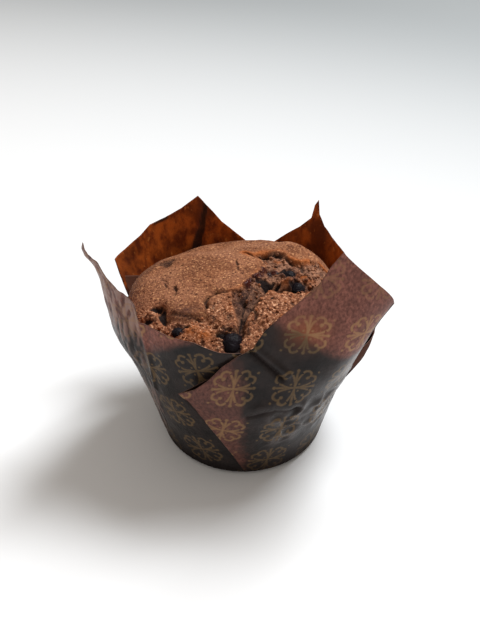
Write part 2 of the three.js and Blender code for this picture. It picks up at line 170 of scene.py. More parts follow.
# Table of places on the flat sheet: its step and reach in degrees, and its height.
SHEET_STEP = 2.0
SHEET_REACH = 100
SHEET_TOP = 80
# Millimetres round the case for each degree, at the creases of the left and the back petal.
LEFT_ARC = 0.55
BACK_ARC = 0.66

# A motif's strokes in stems from its middle: x runs out along the nearer axis, y off it.
INK_EDGE = (0.045, -0.035)  # where a stroke's ink ends and where it is full, past its half-width
STEM_END = 0.93
STEM_HALF = 0.05
BLOBS = (((0.94, 0), 0.08), ((0.53, 0.53), 0.085), ((0.2, 0.2), 0.045))  # club, curl, bud
LOBE = (0.7, 0.44)
LOBE_R = 0.215
LOBE_HALF = 0.055
LOBE_OPEN = (0.656, 0.755)  # direction from the lobe's middle towards its open side
LOBE_CUT = (0.07, 0.1)
BEND = 0.4  # the stroke under the lobe is y = BEND x x
BEND_SLOPE = 0.65
BEND_END = (0.74, 0.8)
BEND_HALF = 0.05
DOT = (1.02, 0.82)
DOT_HALF = 0.055

# ---- Muffin, the same crown as the frame's ----
GAP = 0.2  # between the muffin and the paper
CROWN_R = 32.1
CROWN_C = (-1, 0.2)
CROWN_Z = 45.8
CROWN_H = 9.5
CROWN_POWER = 0.6
CROWN_COLUMNS = 560
CROWN_RINGS = 150
RING_POWER = 0.9  # below 1 the rings lie closer at the rim
SIDE_Z = (1, 3, 9, 17, 25, 33, 39, 43)
SIDE_OVER = 0.4  # how far the side may stand out past the rim
FOOT_INSET = 3
RIM_HEIGHTS = (46.5, 49.5)
RIM_INSET = 0.3
# Petals that hold the muffin: name, from azimuth, to azimuth, and how far it stays back from them.
HOLDING = (
    ("left", 128, 277, 0),
    ("right", 311, 360, 0),
    ("right", 0, 105, 0),
    ("back", 104, 129, 1),
    ("front", 276, 312, 0),
)
TORN = (
    (0.3, 13.6), (2.7, 10.9), (6.4, 12.9), (10.1, 12.5), (12.4, 10.9), (14.7, 8.6), (17, 7.7),
    (19.7, 10.4), (22.4, 12.1), (27, 10), (28.5, 4.5), (25.3, 3.5), (21, -2), (18.5, -4.5),
    (16, -7.1), (13.9, -8.4), (11.9, -7.1), (9.4, -8.6), (6.9, -8.2), (4.9, -10.1), (2.8, -14.3),
    (1.3, -16.7), (0.4, -18.7), (0, -21.2), (-0.7, -23.2), (-1.5, -20), (-2.4, -15.9),
    (-2.9, -12.2), (-3.1, -8), (-0.9, -7.6), (1.4, -5.8), (1.4, -3.5), (3.7, -1.4), (6.6, 2.6),
    (6.2, 5.4), (5.3, 8.4), (2.7, 9.6), (0.3, 12.9),
)
TORN_DEPTH = 1.2
TORN_LIP = 1.0  # width of the step at the patch's edge
# Cracks that the solid has too: half-width, depth, points.
CRACKS = (
    (1.2, 1.6, ((4.5, -7), (2.4, -10.9), (1.3, -14.4), (0.2, -17.3), (-0.1, -20.8), (-0.5, -23.2))),
    (1.6, 1, ((6.4, 12), (8.5, 8), (8, 2), (6.8, -4.5))),
    (1.3, 1.4, ((6.8, -4.5), (9.6, -6.4), (14.9, -5.6), (18.5, -3.5))),
    (0.8, 0.7, ((-4, -8.2), (-7.1, -8.5), (-9.2, -10.2), (-10.2, -12), (-9.5, -14.1))),
    (1.2, 1, ((-20.2, -15.5), (-16.5, -17.6), (-13.5, -17.9), (-10.5, -17.5), (-7.5, -21))),
)
# Lumps and dips: x, y, half-width along x and along y, height.
LUMPS = (
    (6.8, -4.5, 2.6, 2.2, -2.4),
    (-22.5, -12, 2.2, 1.6, -2),
    (-20.6, -15.6, 1.5, 2.2, -2.2),
    (-24.6, -13.8, 1.7, 1.6, 0.8),
    (-22.6, 9.8, 2.4, 2.4, -1.2),
    (12.1, -3.8, 2, 1.8, 1.5),
    (17.2, 0.1, 2.6, 2, 1.4),
    (8.4, -13.6, 4, 3.4, 1.2),
    (5.5, -18.4, 3, 3, 0.7),
    (23.5, 6, 2.8, 2.6, 0.8),
    (-13.5, -21.8, 1.8, 1.3, 0.9),
    (-10, -23.6, 2, 1.5, 0.9),
    (-6.6, -22.8, 1.3, 1.2, 0.7),
    (15, 17, 7, 6, 2.4),
    (29, 13, 5, 7, -2.6),
    (-2, 24, 10, 8, -1.4),
    (-14, 22, 16, 8, -2.4),
)
ORANGE_LUMPS = LUMPS[5:7] + LUMPS[10:12]  # two beside the tear, two at the front rim
# Areas of coarse grain beside the torn patch: right of the tail, left of it, and the front rim.
GRANULAR = (
    (*TORN[22:10:-1], (34, 0), (30, -16), (10, -31), (0, -30), (-0.2, -23)),
    (
        (-3.3, -9.5), (-6, -11.5), (-9.5, -14.1), (-9.8, -16.5), (-7.5, -21), (-5, -22.5),
        (-1, -23.2), (-1.7, -20), (-2.6, -15.9), (-3.1, -12.2),
    ),
    (
        (-20.2, -15.5), (-16.5, -17.6), (-13.5, -17.9), (-10.5, -17.5), (-7.5, -21), (-5, -23),
        (-3, -30), (-20, -30), (-31, -16), (-27, -9), (-23.5, -10),
    ),
)
# Fine cracks of the crust, too narrow for the solid: half-width, depth, points.
FINE_CRACKS = (
    (0.42, 1.1, ((-7.1, -8.5), (-9.2, -10.2), (-10.2, -12), (-9.5, -14.1), (-9.9, -15.1))),
    (0.3, 0.7, ((-4.2, -8.4), (-7.1, -8.5))),
    (0.28, 0.8, ((-21.6, -0.5), (-20.6, -2.9))),
    (0.32, 1, ((-18.9, -4.2), (-18.1, -6.5), (-18.6, -8))),
    (0.3, 0.6, ((-18.1, 6.3), (-17.6, 6.7))),
    (0.25, 0.5, ((-20.9, 3.4), (-20.6, 3.8))),
    (0.24, 0.5, ((-1.4, 1.2), (-1.5, 3.6), (-2, 6))),
    (0.4, 1, ((1.6, -7.5), (0.9, -9.1), (0.2, -13.2), (-0.4, -16.8), (-0.9, -19.9), (-1, -22))),
    (0.4, 0.9, ((0.3, -17.2), (1.3, -14.6), (2.2, -15.2), (3, -17), (3.2, -18.7), (2.6, -20.2))),
    (0.26, 0.6, ((5, -13), (3.5, -11.9), (1.9, -12.3))),
    (0.2, 0.5, ((-22.6, 1.2), (-21.3, -3.4), (-20.4, -6.4))),
    (0.3, 0.5, ((-7.9, -20.5), (-4.5, -22.4), (-1, -23))),
    (0.4, 0.4, ((-18.9, -14.1), (-16.6, -15.9), (-14.5, -16.9), (-12.7, -17.2), (-10.8, -18.6))),
    (0.5, 0.8, (
        (0.6, 12.8), (2.9, 10.4), (6.3, 12), (9.5, 11.6), (12, 10), (14.3, 7.6), (16.6, 6.6),
    )),
)
# Openings, darkened with painted shade: x, y, half-width along x and along y, depth.
OPENINGS = (
    (6.3, -2.2, 2.3, 1.5, 0.5),
    (14.6, -3.8, 2, 1.3, 0.2),
    (9.6, -4, 0.8, 0.7, 0.5),
    (11.2, 2.7, 1.6, 0.7, 0.2),
    (-23.4, -11, 1.9, 0.7, 0.6),
    (-21.5, -13.6, 0.9, 2.2, 0.6),
    (-25.4, -15.6, 1.6, 0.6, 0.4),
    (-14.6, -20.4, 1, 0.6, 0.8),
    (-4.6, -24, 2.4, 0.8, 0.8),
    (-2.7, -27.4, 2.6, 1.2, 0.9),
    (-22, 10.4, 1.3, 0.9, 0.5),
    (-22.4, 12.2, 2.6, 1.4, 0.4),
    (7.7, -12.4, 0.35, 0.3, 0.1),
)
# Darker places of the crust: x, y, half-width along x and along y, strength.
STAINS = (
    (-15, -15.5, 4, 2.2, 1),
    (-22.2, 11.6, 2.8, 1.7, 0.85),
)
# Track of the jam that has run along the tear.
JAM = ((0.9, -5.5), (2.3, -3.4), (4.1, -0.9), (5.7, 1.4), (7.6, 3.4), (9.4, 3.5))
# Berries: x, y, z, radius.
BERRIES = {
    "blueberry_front": (-2.9, -24.8, 49.2, 3.2),
    "blueberry_left": (-16.9, -21.2, 49.9, 1.8),
    "blueberry_tear": (15, -4.4, 51.8, 2.3),
    "blueberry_burst": (13.2, 1.8, 51.7, 2.3),
}
BERRY_RIM = 0.7  # how high the crumb stands round a berry at the front rim
TEAR_RIM = 1.05  # and round one in the tear
CRUMB_PLACES = 2200  # places tried for a loose crumb; those on torn or coarse crust keep one
CRUMB_SIZE = (0.26, 0.6)
CRUMB_ROOM = 1.6  # how far a loose crumb stays from the paper and the rim

# ---- Colours, linear; in a pair, a noise goes from the first to the second ----
GREASY = ((0.0075, 0.0056, 0.0056), (0.024, 0.0165, 0.0152))
DRY = ((0.105, 0.036, 0.027), (0.32, 0.122, 0.09))
DRY_CLOUD = (0.095, 0.036, 0.028)
GLARE = (0.125, 0.104, 0.098)
# Orange stain colour; on the right petal's flap it stands in for light shining through the paper.
SEEPED_AND_GLOW = (0.3, 0.085, 0.03)
# Pale tone of worn paper, laid only where it is glossy, so partly a painted sheen.
WORN_AND_SHEEN = (0.33, 0.215, 0.18)
GOLD = ((0.12, 0.074, 0.034), (0.34, 0.18, 0.084))  # on greasy and on dry paper
SHADED = (0.006, 0.0025, 0.002)
PLAIN = ((0.115, 0.018, 0.004), (0.4, 0.084, 0.012))
PLAIN_CLOUD = (0.11, 0.02, 0.004)
PLAIN_SPECK = (0.62, 0.2, 0.045)
PLAIN_DARK = (0.014, 0.006, 0.004)
CUT = (0.1, 0.045, 0.03)
CRUST = ((0.155, 0.052, 0.021), (0.262, 0.096, 0.04))
CRUST_CLOUD = (0.255, 0.101, 0.049)
GRAIN_LIGHT = (0.56, 0.275, 0.125)
GRAIN_DARK = (0.045, 0.012, 0.005)
COARSE = ((0.045, 0.012, 0.006), (0.25, 0.092, 0.041))
COARSE_LIGHT = (0.66, 0.36, 0.21)
CRUMB = ((0.085, 0.034, 0.019), (0.32, 0.15, 0.086))
CRUMB_LIGHT = (0.46, 0.22, 0.12)
CRUMB_DARK = (0.035, 0.011, 0.006)
ORANGE = (0.36, 0.095, 0.018)
STAIN = (0.05, 0.018, 0.013)
WET = (0.055, 0.01, 0.006)
# Painted shade in cracks, openings, pits and between grains.
HOLLOW = (0.01, 0.004, 0.003)
BERRY = ((0.002, 0.002, 0.0025), (0.01, 0.006, 0.009))
# The floor's far tone is painted shade, where less light reaches it.
FLOOR = ((0.8, 0.8, 0.8), (0.3, 0.315, 0.32))  # near and far
SKY = (1, 0.93, 0.86)
DAYLIGHT = (0.94, 0.97, 1)

# ---- Camera, light and floor, in metres ----
CAMERA = (-0.00085, -0.1636, 0.1617)
PITCH_DOWN = 37.0
LENS = 52.5
SENSOR = 36
WINDOW = (0.40, 0.33, 0.87)
WINDOW_AIM = (0, 0, 0.03)
WINDOW_SIZE = 0.38
WINDOW_POWER = 13.2
SKY_STRENGTH = 0.5
FLOOR_SIZE = 8
# Painted shade: the floor darkens between these, away to the back right.
FLOOR_FALL = (-0.17, 0.83)  # where the floor starts and ends getting darker, to the back right
FLOOR_TURN = 1.23


# ---- Curves and noise ----
def smooth(x, low, high):
    t = np.clip((np.asarray(x, float) - low) / (high - low), 0, 1)
    return t * t * (3 - 2 * t)


def lerp(a, b, t):
    return a + (b - a) * t


def hill(d):
    return np.exp(-(d**2))


def bell(x, y, cx, cy, wx, wy):
    return np.exp(-(((x - cx) / wx) ** 2) - ((y - cy) / wy) ** 2)


def curve(xs, ys, x):
    """Smooth curve through points; ys may hold one row of values per point of x."""
    xs = np.asarray(xs, float)
    ys = np.asarray(ys, float)
    x = np.asarray(x, float)
    last = len(xs) - 1
    i = np.clip(np.searchsorted(xs, x) - 1, 0, last - 1)

    def value(k):
        return ys[k] if ys.ndim == 1 else np.take_along_axis(ys, k[None], 0)[0]

    def slope(k):
        a = np.maximum(k - 1, 0)
        b = np.minimum(k + 1, last)
        return (value(b) - value(a)) / (xs[b] - xs[a])

    h = xs[i + 1] - xs[i]
    t = np.clip((x - xs[i]) / h, 0, 1)
    t2 = t * t
    t3 = t2 * t
    return (
        value(i) * (2 * t3 - 3 * t2 + 1)
        + slope(i) * h * (t3 - 2 * t2 + t)
        + value(i + 1) * (3 * t2 - 2 * t3)
        + slope(i + 1) * h * (t3 - t2)
    )


def hash_noise(ix, iy, iz, seed):
    """A fixed number from -1 to 1 for each corner of a lattice."""
    h = (ix * 374761393 + iy * 668265263 + iz * 974634777 + seed * 1274126177) & 0xFFFFFFFF
    h = ((h ^ (h >> 13)) * 1274126177) & 0xFFFFFFFF
    return ((h ^ (h >> 16)) & 0xFFFF) / 32767.5 - 1


def noise(points, size, seed):
    """Smooth noise, -1 to 1, with features of a size; points is (..., 3)."""
    q = np.asarray(points, float) / size
    i = np.floor(q).astype(np.int64)
    f = q - i
    f = f * f * (3 - 2 * f)
    total = 0
    for corner in range(8):
        d = [(corner >> k) & 1 for k in range(3)]
        w = 1
        for k in range(3):
            w = w * (f[..., k] if d[k] else 1 - f[..., k])
        total = total + w * hash_noise(*(i[..., k] + d[k] for k in range(3)), seed)
    return total


def layered(points, size, seed, octaves=2, fall=0.5):
    total = 0
    weight = 1
    for k in range(octaves):
        total = total + weight * noise(points, size / 2**k, seed + 17 * k)
        weight *= fall
    return total


def flat(a, b):
    """(..., 3) points from two coordinates."""
    return np.stack([a, b, np.zeros_like(a)], -1)


def segment_distance(x, y, a, b):
    dx, dy = b[0] - a[0], b[1] - a[1]
    t = np.clip(((x - a[0]) * dx + (y - a[1]) * dy) / (dx * dx + dy * dy), 0, 1)
    return np.hypot(x - a[0] - t * dx, y - a[1] - t * dy)


def path_distance(x, y, points):
    return np.min([segment_distance(x, y, a, b) for a, b in zip(points, points[1:])], 0)


def inside_by(outline, x, y):
    """How far a place lies inside an outline; less than 0 outside it."""
    inside = np.zeros(np.shape(x), bool)
    nearest = np.full(np.shape(x), np.inf)
    for (xi, yi), (xj, yj) in zip(outline, outline[-1:] + outline[:-1]):
        hit = ((yi > y) != (yj > y)) & (x < (xj - xi) * (y - yi) / (yj - yi + 1e-12) + xi)
        inside ^= hit
        nearest = np.minimum(nearest, segment_distance(x, y, (xj, yj), (xi, yi)))
    return np.where(inside, nearest, -nearest)


# ---- Paper case ----
def petal_radius(petal, azimuth, z):
    ribs = np.array(petal["ribs"], float)
    az = np.asarray(azimuth, float)
    middle = (ribs[0, 0] + ribs[-1, 0]) / 2
    az = az - 360 * np.round((az - middle) / 360)
    az, z = np.broadcast_arrays(az, np.asarray(z, float))
    rows = [np.full(az.shape, FOOT_R), np.full(az.shape, WALL_R10 + petal["lift"])]
    rows += [curve(ribs[:, 0], ribs[:, k + 1], az) for k in range(len(RIB_Z))]
    return curve((0, 10, *RIB_Z), np.array(rows), z)


def edge_z(petal, az):
    edge = np.array(petal["edge"], float)
    return np.interp(az, edge[:, 0], edge[:, 1])


def petal_point(petal, u, v):
    """Azimuth, radius and height of a place: u is its share round the petal, v its share up."""
    top = lerp(petal["edge"][0][0], petal["edge"][-1][0], u)
    z = lerp(PETAL_Z0, edge_z(petal, top), v)
    az = lerp(lerp(*petal["foot"], u), top, v)
    return az, petal_radius(petal, az, z), z


def sheet_place(name, az, z):
    """Where a point of a petal lies on the flat sheet, in millimetres along and up."""
    petal = PETALS[name]
    az0 = LATTICE[name][0]
    az_grid = np.arange(az0 - SHEET_REACH, az0 + SHEET_REACH + 1, SHEET_STEP)
    z_grid = np.arange(0, SHEET_TOP + 1, 1.0)
    a, h = np.meshgrid(az_grid, z_grid, indexing="ij")
    r = petal_radius(petal, a, h)
    arc = (r[1:] + r[:-1]) / 2 * math.radians(SHEET_STEP)
    along = np.zeros_like(r)
    along[1:] = np.cumsum(np.hypot(arc, np.diff(r, axis=0)), axis=0)
    along -= along[len(az_grid) // 2]
    up = np.zeros_like(r)
    up[:, 1:] = np.cumsum(np.hypot(1.0, np.diff(r, axis=1)), axis=1)
    # The cell of the two tables that holds the point; it never starts at their last row.
    i = np.clip((az - az_grid[0]) / SHEET_STEP, 0, len(az_grid) - 1.001)
    j = np.clip(z, 0, len(z_grid) - 1.001)
    i0, j0 = i.astype(int), j.astype(int)
    fi, fj = i - i0, j - j0

    def at(table):
        low = lerp(table[i0, j0], table[i0 + 1, j0], fi)
        return lerp(low, lerp(table[i0, j0 + 1], table[i0 + 1, j0 + 1], fi), fj)

    return at(along), at(up)


def lattice_place(name, s, t):
    """A place of the sheet in steps of the print's lattice; motifs have whole numbers."""
    _, origin, a, b = LATTICE[name]
    det = a[0] * b[1] - a[1] * b[0]
    ds, dt = s - origin[0], t - origin[1]
    return (ds * b[1] - dt * b[0]) / det, (dt * a[0] - ds * a[1]) / det


def creased(s, t, points, width, height):
    """A soft ridge, or a groove, along a path."""
    return height * hill(path_distance(s, t, points) / width)


# What the paper's colours follow: hanging free of the cake and so dry and red, an orange stain
# (on the right petal's flap it stands in for light through the paper), worn print, painted shade,
# gloss with painted glare, and the plain side's darkness, mostly painted shade.
PAPER_MASKS = ("loose", "orange", "faded", "shade", "gloss", "inner_dark")


def paper_masks(like, **given):
    return [np.clip(given.get(name, 0) + 0 * like, 0, 1) for name in PAPER_MASKS]


def foot_shade(z):
    return 0.85 * smooth(z, 10, 2)


def front_relief(az, z, s, t):
    """How far the front petal's paper stands off its smooth form, and its masks."""
    p = flat(s, t)
    # A pinch that runs down from the front berry, and a fold across the middle.
    pinch = ((-2.6, 52), (-1.8, 51), (2, 46.7), (6.6, 41.7))
    beside = ((-0.6, 51.8), (3.4, 47.6), (7.8, 43.2))
    fold = ((-3, 30.4), (4.6, 31.8), (8, 31.0), (12.2, 29.5))
    above = ((-1, 33.2), (5, 34.4), (13, 31.8), (20, 27))
    out = np.zeros_like(z)
    for path, width, height in (
        (pinch, 0.8, -0.6), (beside, 1, 0.6), (fold, 0.7, -0.4), (above, 1.3, 0.3)
    ):
        out += creased(s, t, path, width, height)
    # Sharp crumples low on the right, and soft waves all over.
    crumple = smooth(s, 0, 5) * smooth(t, 34, 30) * smooth(t, 12, 19)
    ridges = 1 - np.abs(layered(p * (1, 1.3, 1), 5.5, 5)) * 2
    out += crumple * 0.45 * ridges
    out += 0.22 * layered(p * (1, 0.45, 1), 9, 11)
    out += 0.05 * layered(p * (1, 0.35, 1), 2.2, 12)
    # The paper is free of the cake left of one line and above another.
    left = np.interp(t, (0, 8, 16, 25, 33, 40, 49), (-3, -3, -4.3, -5, -6, -3.8, -6))
    top_s = (1, 3.2, 5.7, 9, 12.6, 16.6, 20.8, 24.7, 30)
    top_t = (70, 59.1, 58, 55.4, 54, 49.8, 48.1, 46.5, 45)
    top = np.interp(s, top_s, top_t)
    wander = 1.2 * layered(p, 5, 21)
    loose = 0.55 * smooth(left - s + wander + 0.8 * layered(p, 2, 23), -2.6, 1.6)
    loose = np.maximum(loose, smooth(t - top + wander, -1.8, 1.8))
    orange = bell(s, t, 12.6, 55.5, 5, 4)
    shade = creased(s, t, pinch, 0.6, 1.0) + creased(s, t, fold, 0.45, 0.7)
    shade = np.maximum(np.minimum(shade, 1), foot_shade(z))
    # Painted glare on the crumples' ridges and along the right side; painted shade on the plain
    # side below the top.
    gloss = crumple * (0.25 + 0.75 * smooth(ridges, 0.35, 0.95))
    right_side = smooth(az, 320, 333) * smooth(z, 54, 44)
    masks = paper_masks(
        s, loose=loose, orange=orange, faded=0.72 * smooth(t, 56, 62), shade=shade,
        gloss=np.maximum(gloss, 0.9 * right_side), inner_dark=smooth(z, 56, 48),
    )
    return out, masks


def left_relief(az, z, s, t):
    p = flat(s, t)
    crease = ((118.6, 58), (119.4, 49.4), (120.2, 39.4), (119.6, 29))
    out = creased(az * LEFT_ARC, z, crease, 0.9, 0.5)
    # The side towards the tip is ridged along its fibres and carries a painted grey sheen
    # along them; the rest is smooth.
    side = smooth(az, 217.5, 214.5) * smooth(az, 176, 190)
    streak = layered(p * (1, 0.2, 1), 1.2, 31)
    fibres = layered(p * (1, 0.35, 1), 0.8, 36)
    out += side * (0.16 * streak + 0.05 * fibres)
    out += side * 0.35 * layered(p * (1, 0.3, 1), 6, 32)
    out += 0.2 * layered(p * (1, 0.5, 1), 9, 33)
    out += (1 - side) * 0.05 * layered(p, 2.5, 34)
    curl = hill((z - 66.5) / 2.2) * smooth(az, 199, 191)
    out += 1.5 * curl
    wander = 1.2 * layered(p, 6, 35)
    line = np.interp(s, (-12, -5, 0, 6, 12), (44, 46, 49, 52.5, 54))
    loose = smooth(t - line + wander, -2, 2)
    grey = np.clip(lerp(0.05, 0.95, smooth(z, 42, 56)) + 0.25 * streak + 0.3 * fibres, 0, 1)
    loose = lerp(loose, grey, side)
    orange = 0.85 * side * smooth(z, 44, 50) * smooth(az, 201, 209) * smooth(wander + fibres, -1, 1)
    # Painted shade near the foot and on the plain side low down.
    masks = paper_masks(
        s, loose=loose, orange=orange, faded=0.6 * side, shade=foot_shade(z),
        gloss=side * (0.45 + 0.45 * streak + 0.6 * fibres), inner_dark=smooth(z, 47, 41),
    )
    return out, masks


def back_relief(az, z, s, t):
    p = flat(s, t)
    out = 0.3 * layered(p * (1, 0.4, 1), 8, 41)
    out += 0.07 * layered(p, 2.2, 42)
    # The inside fold below the tip, a groove with painted shade along it.
    fold = ((71.2, 58), (73.0, 50), (75.0, 44), (76.0, 38))
    out += creased(az * BACK_ARC, z, fold, 1.2, -0.7)
    half = np.interp(z, (44, 56), (1.4, 0.7)) + 0.15 * layered(p, 2, 44)
    band = smooth(half - path_distance(az * BACK_ARC, z, fold), -0.25, 0.25)
    loose = smooth(t + layered(p, 6, 43), 42, 47)
    # A strip turned over along the upper edge, and the darker left corner; with them, painted shade
    # in the fold and low inside the case.
    edge = edge_z(PETALS["back"], az)
    over = smooth(az, 124.5, 126) * smooth(az, 132.5, 131) * smooth(z, edge - 1.0, edge - 0.5)
    corner = 0.38 * smooth(az, 137, 147)
    dark = np.max([0.85 * band, smooth(z, 40, 34), 0.9 * over, corner], 0)
    return out, paper_masks(s, loose=loose, inner_dark=dark)


def right_relief(az, z, s, t):
    p = flat(s, t)
    out = 0.35 * layered(p * (1, 0.3, 1), 7, 51)
    out += 0.07 * layered(p, 2.4, 52)
    # The part that stands out behind the front petal is dark red above and darker below: painted
    # shade over all of it, deepest below, on a red that stands in for light shining through the
    # paper.
    flap = smooth(az, 26, 10)
    high = smooth(z, 25, 31)
    red = flap * high
    loose = np.maximum(smooth(t + layered(p, 6, 53), 13, 20), red)
    shade = flap * lerp(1, 0.88, high)
    # Painted shade on the plain side low inside the case.
    dark = smooth(z, 40, 34)
    return out, paper_masks(s, loose=loose, orange=red, faded=flap, shade=shade, inner_dark=dark)


RELIEF = {"front": front_relief, "left": left_relief, "back": back_relief, "right": right_relief}


def sheet_mesh(name, points, place, masks, materials):
    """A thin closed sheet round a grid of points: outer face, inner face and the cut edge."""
    cols, rows = points.shape[:2]
    across = np.gradient(points, axis=0)
    up = np.gradient(points, axis=1)
    normal = np.cross(across, up)
    normal /= np.linalg.norm(normal, axis=-1, keepdims=True) + 1e-12
    both = np.concatenate([points + normal * PAPER / 2, points - normal * PAPER / 2])
    o, n = np.arange(2 * cols * rows).reshape(2, cols, rows)

    def quads(a, b, c, d):
        return np.stack([a, b, c, d], -1).reshape(-1, 4)

    outer = quads(o[:-1, :-1], o[1:, :-1], o[1:, 1:], o[:-1, 1:])
    inner = quads(n[:-1, :-1], n[:-1, 1:], n[1:, 1:], n[1:, :-1])
    rim = np.concatenate([
        quads(n[:-1, 0], n[1:, 0], o[1:, 0], o[:-1, 0]),
        quads(o[:-1, -1], o[1:, -1], n[1:, -1], n[:-1, -1]),
        quads(n[0, :-1], o[0, :-1], o[0, 1:], n[0, 1:]),
        quads(o[-1, :-1], n[-1, :-1], n[-1, 1:], o[-1, 1:]),
    ])
    faces = np.concatenate([outer, inner, rim])
    uv = np.tile(np.stack(place, -1).reshape(-1, 2), (2, 1))
    mask = np.tile(np.stack(masks, -1).reshape(-1, len(masks)), (2, 1))
    slots = np.repeat([0, 1, 2], [len(outer), len(inner), len(rim)])
    return build_mesh(name, both.reshape(-1, 3), faces, materials, mask, uv, slots)


def fill(data, key, values, kind=np.float32):
    data.foreach_set(key, np.asarray(values, kind).ravel())


def build_mesh(name, verts, faces, materials, mask, uv=None, slots=None):
    """An object from arrays; the masks go into colour layers of three each."""
    mesh = bpy.data.meshes.new(name)
    mesh.vertices.add(len(verts))
    fill(mesh.vertices, "co", verts * MM)
    mesh.loops.add(faces.size)
    fill(mesh.loops, "vertex_index", faces, np.int32)
    mesh.polygons.add(len(faces))
    fill(mesh.polygons, "loop_start", np.arange(0, faces.size, faces.shape[1]), np.int32)
    if slots is not None:
        fill(mesh.polygons, "material_index", slots, np.int32)
    if uv is not None:
        fill(mesh.uv_layers.new(name="sheet").data, "uv", uv[faces.ravel()])
    for k in range(0, mask.shape[1], 3):
        layer = mesh.color_attributes.new("mask%d" % (k // 3), "FLOAT_COLOR", "POINT")
        fill(layer.data, "color", np.c_[mask[:, k : k + 3], np.ones(len(mask))])
    for m in materials:
        mesh.materials.append(m)
    mesh.update(calc_edges=True)
    mesh.validate()
    mesh.shade_smooth()
    piece = bpy.data.objects.new(name, mesh)
    bpy.context.scene.collection.objects.link(piece)
    return piece


def cartesian(az, r, z):
    a = np.radians(az)
    return np.stack([r * np.cos(a), r * np.sin(a), z + 0 * r], -1)


def foot_edge(low_az, low_r):
    """A petal's rows from under the foot round its edge up to where its surface starts."""
    top = math.acos(1 - (PETAL_Z0 - FOOT_FLAP_Z) / FOOT_EDGE_R)
    turns = np.linspace(0, top, FOOT_EDGE_STEPS)
    out = np.array([-FOOT_FLAP, *FOOT_EDGE_R * (np.sin(turns) - math.sin(top))])
    up = np.array([FOOT_FLAP_Z, *FOOT_FLAP_Z + FOOT_EDGE_R * (1 - np.cos(turns))])
    return cartesian(np.repeat(low_az, len(out), 1), low_r + out, up)


def petal_grid(name):
    """Points, places on the print's lattice and masks of a petal's grid."""
    petal = PETALS[name]
    edge = np.array(petal["edge"], float)
    corners = (edge[:, 0] - edge[0, 0]) / (edge[-1, 0] - edge[0, 0])
    cols, rows = FINENESS[name]
    u = np.unique(np.round(np.concatenate([np.linspace(0, 1, cols), corners]), 5))
    u, v = np.meshgrid(u, np.linspace(0, 1, rows), indexing="ij")
    az, r, z = petal_point(petal, u, v)
    s, t = sheet_place(name, az, z)
    out, masks = RELIEF[name](az, z, s, t)
    shade = PAPER_MASKS.index("shade")
    masks[shade] = np.maximum(masks[shade], 0.6 * smooth(z, 15, 2))
    r = r + out * smooth(z, 2, 8)
    foot = foot_edge(az[:, :1], r[:, :1])
    points = np.concatenate([foot, cartesian(az, r, z)[:, 1:]], 1)

    def with_foot(table, inner=0):
        low = np.repeat(table[:, :1], foot.shape[1], 1)
        low[:, 0] += inner
        return np.concatenate([low, table[:, 1:]], 1)

    place = lattice_place(name, with_foot(s), with_foot(t, -FOOT_FLAP))
    return points, place, [with_foot(m) for m in masks]


def pleat_grid(name):
    """The same for a pleat's middle layer, which hangs between the sides of two petals."""
    outer_name, outer_u, inner_name, inner_u, leave, drop = PLEATS[name]
    outer, inner = PETALS[outer_name], PETALS[inner_name]
    share, v = np.meshgrid(*(np.linspace(0, 1, n) for n in PLEAT_GRID), indexing="ij")
    az_out, _, z_out = petal_point(outer, outer_u + 0 * v, v)
    az_in, _, z_in = petal_point(inner, inner_u + 0 * v, v)
    turn = az_in - az_out - 360 * np.round((az_in - az_out) / 360)
    az = az_out + turn * share
    z = lerp(z_out - drop * v, z_in, share)
    low = petal_radius(inner, az, z)
    apart = petal_radius(outer, az, z) - low
    high = apart - np.minimum(PLEAT_STEP, apart / 2) * smooth(share, 0, 0.2)
    rest = np.minimum(PLEAT_REST, 0.45 * apart)
    r = low + lerp(high, rest, smooth(share, leave, leave + PLEAT_CROSSING))
    points = cartesian(az, r, z)
    s, t = sheet_place(inner_name, az, z)
    a, b = lattice_place(inner_name, s, t)
    if inner_u == 0:
        points, a, b = points[::-1], a[::-1], b[::-1]
    # Painted shade: a middle layer lies between two petals, darkened on both of its sides.
    masks = paper_masks(a, loose=0.3, orange=0.8, faded=1, shade=0.7, inner_dark=1)
    return points, (a, b), masks


def foot_grid():
    """The same for the round sheet inside the foot."""
    cols, rows = FOOT_SHEET_GRID
    r = np.linspace(FOOT_SHEET_R, 0.01, rows)
    turn, r = np.meshgrid(np.linspace(0, 360, cols), r, indexing="ij")
    points = cartesian(turn, r, FOOT_SHEET_Z)
    place = (points[..., 0] / PITCH + 0.5, points[..., 1] / PITCH)
    return points, place, paper_masks(turn)


# ---- Muffin ----
def inner_wall(az, z):
    """Radius of the muffin's side: just inside the paper that holds it."""
    a = np.mod(az, 360)
    a, z = np.broadcast_arrays(a, np.asarray(z, float))
    r = FOOT_R + (WALL_R10 - FOOT_R) * z / 10 + WALL_FLARE * z * z
    for name, low, high, back in HOLDING:
        there = (a >= low) & (a <= high)
        r = np.where(there, np.minimum(r, petal_radius(PETALS[name], a, z) - back), r)
    return r - FRAME_PAPER / 2 - GAP


